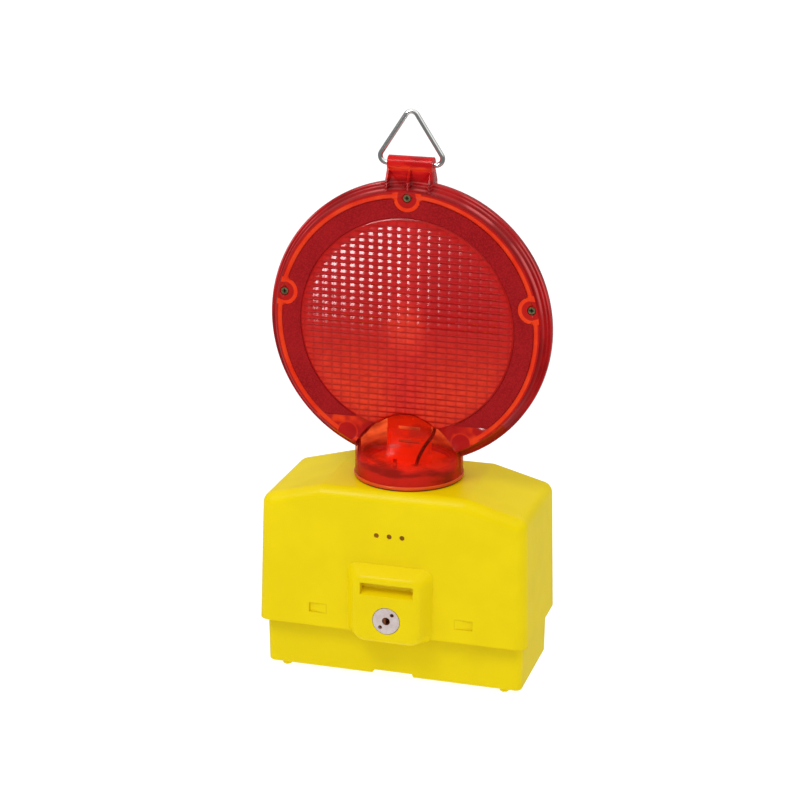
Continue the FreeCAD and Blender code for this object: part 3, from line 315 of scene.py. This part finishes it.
def make_prism_red():
    """The prismatic field, with painted light: a bright spot over the lamp, lighter below and
    darker above, a lighter upright band through the middle; painted shade darkens the prisms'
    grooves.
    """
    material, tree, shader = new_material("lens_prisms")
    reach = distance_from(tree, (0, 0, HEAD_Z))
    height = along(tree, "Z")
    sideways = math_node(tree, "ABSOLUTE", along(tree, "X"))
    # painted light: lighter and more orange low on the field, darker red higher up
    height_light = span(tree, height, HEAD_Z - 60 * MM, HEAD_Z + 15 * MM)
    tone = blend_colours(tree, height_light, colour(230, 58, 32), colour(188, 22, 24))
    # painted light: a lighter upright band through the middle of the field
    column = span(tree, sideways, 2 * MM, 20 * MM, 0.55, 0.0)
    tone = blend_colours(tree, column, tone, colour(214, 34, 36))
    # painted light: a bright spot over the lamp, which is not lit
    glow = span(tree, distance_from(tree, (0, 0, HEAD_Z - 3 * MM), (1.4, 0, 1)),
                3 * MM, 27 * MM, 0.8, 0.0)
    tone = blend_colours(tree, glow, tone, colour(236, 62, 38))
    edge = span(tree, reach, 66 * MM, 74 * MM, 0.0, 0.45)
    tone = blend_colours(tree, edge, tone, colour(196, 34, 24))
    cloud = span(tree, noise(tree, 220, 4.0, (1, 1, 1.6)), 0.3, 0.7, 0.0, 0.35)
    tone = blend_colours(tree, cloud, tone, colour(160, 14, 16))
    # painted shade in the prisms' grooves, stronger in the level grooves than in the upright ones
    rise = math_node(tree, "SUBTRACT", height, HEAD_Z)
    below = math_node(tree, "DIVIDE", math_node(tree, "MINIMUM", rise, 0.0), CELL_HEIGHTS[0])
    above = math_node(tree, "DIVIDE", math_node(tree, "MAXIMUM", rise, 0.0), CELL_HEIGHTS[1])
    rows = math_node(tree, "SUBTRACT", math_node(tree, "ADD", below, above), 0.1)
    groove_shade = span(tree, line_wave(tree, rows), 0.0, 1.0, 0.0, 0.58)
    across = math_node(tree, "MULTIPLY", along(tree, "X"),
                       math_node(tree, "SIGN", along(tree, "Y")))
    left = math_node(tree, "DIVIDE", math_node(tree, "MAXIMUM", across, 0.0), CELL_WIDTHS[0])
    right = math_node(tree, "DIVIDE", math_node(tree, "MINIMUM", across, 0.0), CELL_WIDTHS[1])
    upright_line = line_wave(tree, math_node(tree, "ADD", left, right))
    groove_shade = math_node(tree, "MAXIMUM", groove_shade, span(tree, upright_line, 0.55, 1.0, 0.0, 0.3))
    tone = blend_colours(tree, groove_shade, tone, colour(150, 12, 14))
    feed(tree, shader, Base_Color=tone)
    fix(shader, Roughness=0.13, Specular_IOR_Level=0.3)
    return material


def boss_distance(tree, angles):
    """Distance from the nearest of the round bosses at some angles about the head's centre."""
    nearest = None
    for degrees in angles:
        angle = math.radians(degrees)
        centre = (BOSS_CIRCLE * math.cos(angle), 0, HEAD_Z + BOSS_CIRCLE * math.sin(angle))
        gap = distance_from(tree, centre)
        nearest = gap if nearest is None else math_node(tree, "MINIMUM", nearest, gap)
    return nearest


def make_land_red():
    """The flat land round the prisms, with painted glow: an edge-lit rim line, lit rings round the
    bosses and lit patches along the open bottom.
    """
    material, tree, shader = new_material("lens_land")
    reach = distance_from(tree, (0, 0, HEAD_Z))
    cloud = span(tree, noise(tree, 60), 0.3, 0.7)
    glow_tone = blend_colours(tree, cloud, colour(226, 44, 16), colour(238, 66, 26))
    dark_tone = blend_colours(tree, cloud, colour(168, 20, 20), colour(184, 26, 22))
    # painted glow: an edge-lit line round the land, lit patches along the open bottom and lit
    # rings round the bosses
    rim_line = within(tree, reach, BAND_OUTER + 0.5 * MM, LAND_OUTER - 2.0 * MM, 0.5 * MM)
    bottom = span(tree, along(tree, "Z"), HEAD_Z - BAND_END - 0.5 * MM,
                  HEAD_Z - BAND_END + 0.5 * MM, 1.0, 0.0)
    patches = span(tree, noise(tree, 60, 2.0, (1, 0.2, 1)), 0.5, 0.66, 0.0, 0.9)
    bottom = math_node(tree, "MULTIPLY", bottom, patches)
    glow = math_node(tree, "MAXIMUM", rim_line, bottom)
    nearest = boss_distance(tree, SCREW_ANGLES)
    glow = math_node(tree, "MAXIMUM", glow, within(tree, nearest, 6.8 * MM, 10.4 * MM, 0.4 * MM))
    blind = boss_distance(tree, BLIND_ANGLES)
    ring = within(tree, blind, 6.6 * MM, 7.6 * MM, 0.5 * MM)
    glow = math_node(tree, "MAXIMUM", glow, math_node(tree, "MULTIPLY", ring, 0.5))
    inside = span(tree, math_node(tree, "MINIMUM", nearest, blind), 6.2 * MM, 6.8 * MM)
    glow = math_node(tree, "MULTIPLY", glow, inside)
    tone = blend_colours(tree, glow, dark_tone, glow_tone)
    feed(tree, shader, Base_Color=tone, Normal=bump(tree, noise(tree, 300, 2.0), 0.01 * MM))
    fix(shader, Roughness=0.12, Specular_IOR_Level=0.18)
    return material


def make_rim_red():
    """The rim and the lug: deep clear red, with painted highlights along the rim's edges, stronger
    higher up.
    """
    material, tree, shader = new_material("lens_rim")
    streaks = noise(tree, 26, 3.0, (1, 3, 1))
    tone = blend_colours(tree, span(tree, streaks, 0.35, 0.65),
                         colour(134, 8, 12), colour(176, 16, 18))
    height = along(tree, "Z")
    lug = span(tree, height, HEAD_Z + 99 * MM, HEAD_Z + 103 * MM, 0.0, 0.85)
    fibres = span(tree, noise(tree, 60, 4.0, (1, 1, 6)), 0.4, 0.6)
    lug_tone = blend_colours(tree, fibres, colour(186, 16, 20), colour(216, 30, 26))
    tone = blend_colours(tree, lug, tone, lug_tone)
    stripe = within(tree, height, BARREL_Z - 4 * MM, BARREL_Z - 1 * MM, 1 * MM)
    stripe = math_node(tree, "MULTIPLY", stripe, span(tree, fibres, 0.2, 0.8, 0.3, 0.9))
    tone = blend_colours(tree, stripe, tone, colour(238, 60, 26))
    reach = distance_from(tree, (0, 0, HEAD_Z))
    # painted highlights: pale lines along the rim's edges, broken up by noise and stronger higher
    # up
    lines = math_node(tree, "MAXIMUM", within(tree, reach, 94.3 * MM, 94.9 * MM),
                      within(tree, reach, 98.5 * MM, 99.2 * MM))
    lines = math_node(tree, "MAXIMUM", lines, within(tree, reach, 96.6 * MM, 97.0 * MM))
    highlight_breakup = span(tree, noise(tree, 30, 2.0), 0.4, 0.6, 0.15, 0.8)
    highlight_upper = span(tree, height, HEAD_Z - 10 * MM, HEAD_Z + 40 * MM, 0.1, 1.0)
    lines = math_node(tree, "MULTIPLY", lines, math_node(tree, "MULTIPLY", highlight_breakup, highlight_upper))
    tone = blend_colours(tree, lines, tone, colour(228, 104, 104))
    feed(tree, shader, Base_Color=tone, Normal=bump(tree, noise(tree, 200, 2.0), 0.015 * MM))
    fix(shader, Roughness=0.1, Specular_IOR_Level=0.12)
    return material


def make_clear_red(name, tint, body_tint):
    """Clear red plastic: light passes straight on, tinted, under a glossy skin."""
    material, tree, shader = new_material(name)
    streaks = span(tree, noise(tree, 42, 4.0, (1, 1, 3.4)), 0.46, 0.64)
    tone = blend_colours(tree, streaks, body_tint, scaled(body_tint, 0.4))
    feed(tree, shader, Base_Color=tone, Normal=bump(tree, noise(tree, 120, 2.0), 0.03 * MM))
    fix(shader, Roughness=0.13, Specular_IOR_Level=0.17)
    clear = add(tree, "ShaderNodeBsdfTransparent", {"Color": tint})
    collar = span(tree, along(tree, "Z"), HOOD_START - 10 * MM, HOOD_START + 1 * MM, 0.5, 0.07)
    body_share = math_node(tree, "ADD", collar, math_node(tree, "MULTIPLY", streaks, 0.28))
    edge = add(tree, "ShaderNodeLayerWeight", {"Blend": 0.35}).outputs["Facing"]
    share = math_node(tree, "MAXIMUM", body_share, span(tree, edge, 0.5, 1.0, 0.0, 0.4))
    mixed = add(tree, "ShaderNodeMixShader",
                {0: share, 1: clear.outputs[0], 2: shader.outputs[0]})
    tree.links.new(mixed.outputs[0], tree.nodes["Material Output"].inputs["Surface"])
    return material


def make_reflector_red():
    """The dark band: fine retroreflective facets under a smooth face."""
    material, tree, shader = new_material("reflector_facets")
    facets = cells(tree, 900, "F1", (1, 0.01, 1))
    tone = blend_colours(tree, span(tree, facets, 0.1, 0.75),
                         colour(166, 26, 30), colour(140, 16, 22))
    cloud = span(tree, noise(tree, 30), 0.35, 0.65, 0.0, 0.35)
    tone = blend_colours(tree, cloud, tone, colour(172, 28, 30))
    feed(tree, shader, Base_Color=tone, Normal=bump(tree, facets, 0.05 * MM))
    fix(shader, Roughness=0.34, Specular_IOR_Level=0.05)
    return material


def make_materials():
    """A finished material for each of the record's material slots on show."""
    steel_lines = (1, 1, 12)
    return {
        "housing_yellow": make_yellow(),
        "reflector_red": make_reflector_red(),
        "swivel_red": moulded("red_swivel", colour(222, 84, 24), 0.14, 0.06, 300,
                              Specular_IOR_Level=0.2),
        "gasket_red": moulded("red_gasket", colour(96, 12, 10), 0.6),
        "seal_black": moulded("dark_seal", colour(84, 36, 20), 0.7),
        "battery_case": moulded("battery_sleeve", colour(42, 58, 84), 0.45, 0.08, 500),
        "spring_steel": brushed("spring_wire", colour(206, 206, 200), 0.3, steel_lines),
        "ring_steel": brushed("ring_wire", colour(226, 228, 224), 0.16, (1, 6, 1), 0.004 * MM),
        "lock_steel": make_lock_metal(),
        "screw_steel": make_screw_zinc(),
        "contact_brass": brushed("contact_brass", colour(222, 186, 110), 0.3, (8, 1, 1)),
        "board_green": make_board_green(),
        "black_plastic": moulded("black_moulding", colour(38, 38, 40), 0.45, 0.1, 700),
        "window_brown": moulded("window_tint", colour(150, 96, 14), 0.12, 0.2, 300),
        "lamp_clear": moulded("lamp_resin", colour(250, 205, 190), 0.1, 0.03, 300),
        # the mast glows orange by emission: painted light, as the mast is no lamp
        "mast_plastic": moulded("mast_moulding_glow", colour(250, 100, 60), 0.2, 0.06, 400,
                                Emission_Color=colour(255, 90, 40), Emission_Strength=0.2),
        "lead_black": moulded("lead_insulation", colour(22, 20, 20), 0.5, 0.1, 900),
        "carrier_grey": moulded("carrier_moulding", colour(120, 122, 126), 0.5, 0.05, 900),
        "capacitor_sleeve": moulded("capacitor_sleeve", colour(40, 52, 110), 0.25, 0.06, 300),
        "coil_ferrite": moulded("coil_ferrite", colour(70, 68, 66), 0.7, 0.12, 1500),
        "header_white": moulded("header_nylon", colour(232, 229, 216), 0.35, 0.03, 400),
    }


def dress_frame(materials):
    """Give each CAD node its finished material."""
    for made in nodes.values():
        for slot in made.material_slots:
            name = slot.material.name.split(".")[0]
            if name in materials:
                slot.material = materials[name]


# ---------------------------------------------------------------- lens shells

STEPS = 6                        # mesh steps across a cell
SIDE_SLOPES = (0.18, 0.12)       # the prisms' steepness sideways, left and right of the middle
STEEP = 0.4                      # their steepness up the lens, above the middle
FLAT = 0.34                      # and lower down, from FLATTENING_ROWS rows under the middle
FLATTENING_ROWS = 5
CREST = 0.34                     # where a prism's crest lies, from its lower edge
CREST_ROUND = 0.12               # share of a prism's height over which its crest is dulled
CREST_LOSS = 0.15                # share of its rise that the crest loses by that
LIVELINESS = 0.03                # the prisms' steepness varies by up to this share
FIELD_SUNK = 0.7 * MM            # the prisms' valleys lie this far behind the face plane
FIELD_FADE = 5 * MM              # the prisms flatten over this width towards the land
BORDER_OVERLAP = 0.15 * MM       # the field's outermost points reach this far into the land
BORDER_SUNK = 0.05 * MM          # and lie this far behind it
HOOD_START = 163 * MM            # the collar ends here and its sloping shoulder starts
HOOD_TOP = 188.8 * MM
HOOD_MARGIN = 1.5 * MM           # the prisms stop this far inside the hood's outline
COLLAR_RADIUS = 37.7 * MM
HOOD_ROUND = 58 * MM             # the shoulder's arc, with its centre below
HOOD_ROUND_X = -13.55 * MM
HOOD_ROUND_Z = 135.8 * MM
CREASE_BEVEL = 0.8 * MM
SMOOTH_DEGREES = 24              # edges sharper than this stay sharp
NEAR = 0.02 * MM                 # closer than this counts as the same place
WELD = 0.001 * MM                # points closer than this are joined
HOOD_SLACK = 0.4 * MM            # allowance for the hood's mesh standing off its true radius
COLLAR_SLACK = 0.1 * MM
FIELD_SLACK = 0.05 * MM
RIM_START = LAND_OUTER - 0.6 * MM         # faces centred beyond this take the rim's material
NUDGE = 1e-9                     # keeps a point on a cell's border inside one cell
LAND, RIM, CLEAR, PRISMS = range(4)       # a shell's materials, in this order


def half(place, values):
    """The value for one half of the field or the other: values below and above zero."""
    return values[0] if place < 0 else values[1]


def row_slope(row):
    """How steep a row is: the rows get flatter one by one under the middle."""
    share = min(1.0, max(0.0, -row / FLATTENING_ROWS))
    return STEEP + (FLAT - STEEP) * share


def prism_height(x, z, lively):
    """How far the prisms stand proud of the face at a point."""
    width = half(x, CELL_WIDTHS)
    height = half(z, CELL_HEIGHTS)
    column = x / width
    row = z / height
    u = 2 * (column - math.floor(column)) - 1
    v = row - math.floor(row)
    factor = lively[(math.floor(column), math.floor(row))]
    side = half(x, SIDE_SLOPES) * width / 4 * (1 - u * u)
    tall = row_slope(math.floor(row)) * factor * height * (1 - CREST)
    rise = tall * v / CREST if v < CREST else tall * (1 - v) / (1 - CREST)
    dulled = max(0.0, 1 - abs(v - CREST) / CREST_ROUND)
    full = side + rise - CREST_LOSS * tall * dulled * dulled - FIELD_SUNK
    fade = min(1.0, (LENS_RADIUS - math.hypot(x, z)) / FIELD_FADE)
    return full * fade * (2 - fade)


def cell_variation():
    """A slightly different steepness for each prism, the same on every run."""
    chance = random.Random(7)
    reach = 20                   # more columns and rows than the field has either way
    return {(column, row): chance.uniform(1 - LIVELINESS, 1 + LIVELINESS)
            for column in range(-reach, reach) for row in range(-reach, reach)}


def under_hood(x, z):
    """True where the face plane is open into the hood."""
    height = HEAD_Z + z
    reach = hood_radius(height) - HOOD_MARGIN
    return height < HOOD_TOP and math.hypot(x, FACE_DEPTH) < reach


def add_prisms(mesh, side):
    """The round prismatic field, in the face plane of a shell."""
    lively = cell_variation()
    columns = math.ceil(STEPS * LENS_RADIUS / min(CELL_WIDTHS)) + 1
    rows = math.ceil(STEPS * LENS_RADIUS / min(CELL_HEIGHTS)) + 1
    made = {}

    def corner(column, row):
        """Where two mesh lines cross, across and up from the field's middle."""
        return column * half(column, CELL_WIDTHS) / STEPS, row * half(row, CELL_HEIGHTS) / STEPS

    def vertex(column, row):
        """The mesh's point at a crossing; points past the border are drawn in to it."""
        if (column, row) not in made:
            x, z = corner(column, row)
            reach = math.hypot(x, z)
            if reach < LENS_RADIUS:
                proud = prism_height(x + NUDGE, z + NUDGE, lively)
            else:
                border = LENS_RADIUS + BORDER_OVERLAP
                x, z = x * border / reach, z * border / reach
                proud = -BORDER_SUNK
            place = (-side * x, side * (FACE_DEPTH + proud), HEAD_Z + z)
            made[(column, row)] = mesh.verts.new(place)
        return made[(column, row)]

    for column in range(-columns, columns):
        for row in range(-rows, rows):
            corners = [(column, row), (column + 1, row), (column + 1, row + 1), (column, row + 1)]
            inside = [math.hypot(*corner(u, v)) < LENS_RADIUS for u, v in corners]
            if any(inside) and not under_hood(*corner(column, row)):
                face = mesh.faces.new([vertex(u, v) for u, v in corners])
                face.material_index = PRISMS


def hood_radius(z):
    """Radius of the collar and its shoulder about the upright axis, at a height."""
    if z < HOOD_START:
        return COLLAR_RADIUS
    return HOOD_ROUND_X + math.sqrt(max(HOOD_ROUND ** 2 - (z - HOOD_ROUND_Z) ** 2, 0))


def shell_zone(face):
    """Which material a face of the plain shell takes: land, rim and lug, or clear hood."""
    centre = face.calc_center_median()
    reach = math.hypot(centre.x, centre.z - HEAD_Z)
    about_axis = math.hypot(centre.x, centre.y)
    depths = [vertex.co.y for vertex in face.verts]
    flat = max(depths) - min(depths) < NEAR
    if centre.z < HOOD_TOP and not flat and about_axis < hood_radius(centre.z) + HOOD_SLACK:
        return CLEAR
    if reach > RIM_START:
        return RIM
    return LAND


def on_crease(edge):
    """True for an edge between the collar and its sloping shoulder."""
    return all(abs(v.co.z - HOOD_START) < NEAR
               and abs(math.hypot(v.co.x, v.co.y) - COLLAR_RADIUS) < COLLAR_SLACK
               for v in edge.verts)


def make_shell(name, side, materials):
    """A lens shell with its prisms, in place of the plain one of the frame."""
    source = nodes[name + "_lens_shell"]
    mesh = bmesh.new()
    mesh.from_mesh(source.data)
    bmesh.ops.remove_doubles(mesh, verts=mesh.verts, dist=WELD)
    mesh.normal_update()
    plain = []
    for face in mesh.faces:
        centre = face.calc_center_median()
        reach = max(math.hypot(v.co.x, v.co.z - HEAD_Z) for v in face.verts)
        face.material_index = shell_zone(face)
        on_plane = abs(centre.y * side - FACE_DEPTH) < NEAR
        if on_plane and reach < LENS_RADIUS + FIELD_SLACK:
            plain.append(face)
    bmesh.ops.delete(mesh, geom=plain, context="FACES")
    crease = [edge for edge in mesh.edges if on_crease(edge)]
    bmesh.ops.bevel(mesh, geom=crease, offset=CREASE_BEVEL, segments=3, profile=0.5,
                    affect="EDGES", material=CLEAR)
    add_prisms(mesh, side)
    data = bpy.data.meshes.new(name + "_prism_shell")
    mesh.to_mesh(data)
    mesh.free()
    data.transform(source.matrix_world)
    data.polygons.foreach_set("use_smooth", [True] * len(data.polygons))
    data.set_sharp_from_angle(angle=math.radians(SMOOTH_DEGREES))
    for material in materials:
        data.materials.append(material)
    shell = bpy.data.objects.new(name + "_prism_shell", data)
    bpy.context.scene.collection.objects.link(shell)
    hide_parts(name + "_lens_shell")
    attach(shell, "head")


def make_shells():
    """Both shells share their materials, in the order of LAND, RIM, CLEAR, PRISMS."""
    clear = make_clear_red("lens_hood", (0.98, 0.58, 0.4, 1), colour(236, 48, 34))
    materials = [make_land_red(), make_rim_red(), clear, make_prism_red()]
    make_shell("front", -1, materials)
    make_shell("rear", 1, materials)


# ---------------------------------------------------------------- stage

WHITE = (1, 1, 1, 1)
AIM = (0, 0, 0.2)                # what the key and fill lights look at


def make_camera():
    """The camera looks a little from the right and from above."""
    azimuth = math.radians(16.29)
    elevation = math.radians(17.62)
    roll = math.radians(0.34)
    distance = 1.5056
    target_height = 194.3 * MM
    aside = -6.65 * MM
    back = Vector((math.sin(azimuth) * math.cos(elevation),
                   -math.cos(azimuth) * math.cos(elevation), math.sin(elevation)))
    right = Vector((math.cos(azimuth), math.sin(azimuth), 0))
    up = back.cross(right)
    turned_right = right * math.cos(roll) + up * math.sin(roll)
    turned_up = up * math.cos(roll) - right * math.sin(roll)
    data = bpy.data.cameras.new("camera")
    data.lens = 98.03
    data.sensor_width = 36
    data.clip_start = 0.05
    data.clip_end = 100
    camera = bpy.data.objects.new("camera", data)
    bpy.context.scene.collection.objects.link(camera)
    place = Vector((0, 0, target_height)) + right * aside + back * distance
    axes = Matrix((turned_right, turned_up, back)).transposed().to_4x4()
    camera.matrix_world = Matrix.Translation(place) @ axes
    bpy.context.scene.camera = camera


def make_floor():
    """A wide pale floor that the four feet stand on, glowing enough to stay nearly white."""
    mesh = bpy.data.meshes.new("floor")
    half = 40.0
    mesh.from_pydata([(-half, -half, 0), (half, -half, 0), (half, half, 0), (-half, half, 0)],
                     [], [(0, 1, 2, 3)])
    floor = bpy.data.objects.new("floor", mesh)
    bpy.context.scene.collection.objects.link(floor)
    material, tree, shader = new_material("pale_floor")
    tone = blend_colours(tree, noise(tree, 0.7), (0.24, 0.24, 0.24, 1), (0.26, 0.26, 0.26, 1))
    feed(tree, shader, Base_Color=tone)
    fix(shader, Roughness=0.9, Specular_IOR_Level=0.1,
        Emission_Color=WHITE, Emission_Strength=0.9)
    material.cycles.emission_sampling = "NONE"
    mesh.materials.append(material)
    floor.visible_glossy = False


def area_light(name, place, size, power, aim, diffuse=True):
    """A round soft box at a place, looking at a point."""
    data = bpy.data.lights.new(name, "AREA")
    data.shape = "DISK"
    data.size = size
    data.energy = power
    light = bpy.data.objects.new(name, data)
    light.location = place
    light.rotation_mode = "QUATERNION"
    light.rotation_quaternion = (Vector(aim) - Vector(place)).to_track_quat("-Z", "Y")
    light.visible_diffuse = diffuse
    bpy.context.scene.collection.objects.link(light)


def make_world():
    """A white studio: brighter above, behind and straight below than in front."""
    world = bpy.data.worlds.new("studio")
    world.use_nodes = True
    tree = world.node_tree
    background = tree.nodes["Background"]
    direction = add(tree, "ShaderNodeTexCoord").outputs["Generated"]
    split = add(tree, "ShaderNodeSeparateXYZ", {0: direction})
    above = span(tree, split.outputs[2], 0.15, 0.9, 0.0, 0.85)
    behind = span(tree, split.outputs[1], -0.3, 0.7, 0.0, 0.14)
    below = span(tree, split.outputs[2], -0.95, -0.6, 0.8, 0.0)
    total = math_node(tree, "ADD", math_node(tree, "ADD", above, behind), below)
    total = math_node(tree, "ADD", total, 0.2)
    seen = add(tree, "ShaderNodeLightPath").outputs["Is Camera Ray"]
    strength = math_node(tree, "MAXIMUM", total, seen)
    tree.links.new(strength, background.inputs["Strength"])
    background.inputs["Color"].default_value = WHITE
    bpy.context.scene.world = world


def make_stage():
    """Camera, floor, surroundings and lights; the third light only makes the prisms sparkle."""
    make_camera()
    make_floor()
    make_world()
    area_light("key", (-0.42, -0.72, 1.2), 0.5, 5, AIM)
    area_light("fill", (1.2, -0.6, 1.2), 1.2, 2, AIM)
    area_light("sparkle", (-0.28, -0.46, HEAD_Z + 0.34), 0.17, 2.2, (0, 0, HEAD_Z), False)
    bpy.context.scene.view_settings.view_transform = "Standard"


# ---------------------------------------------------------------- run

make_stage()
dress_frame(make_materials())
make_shells()
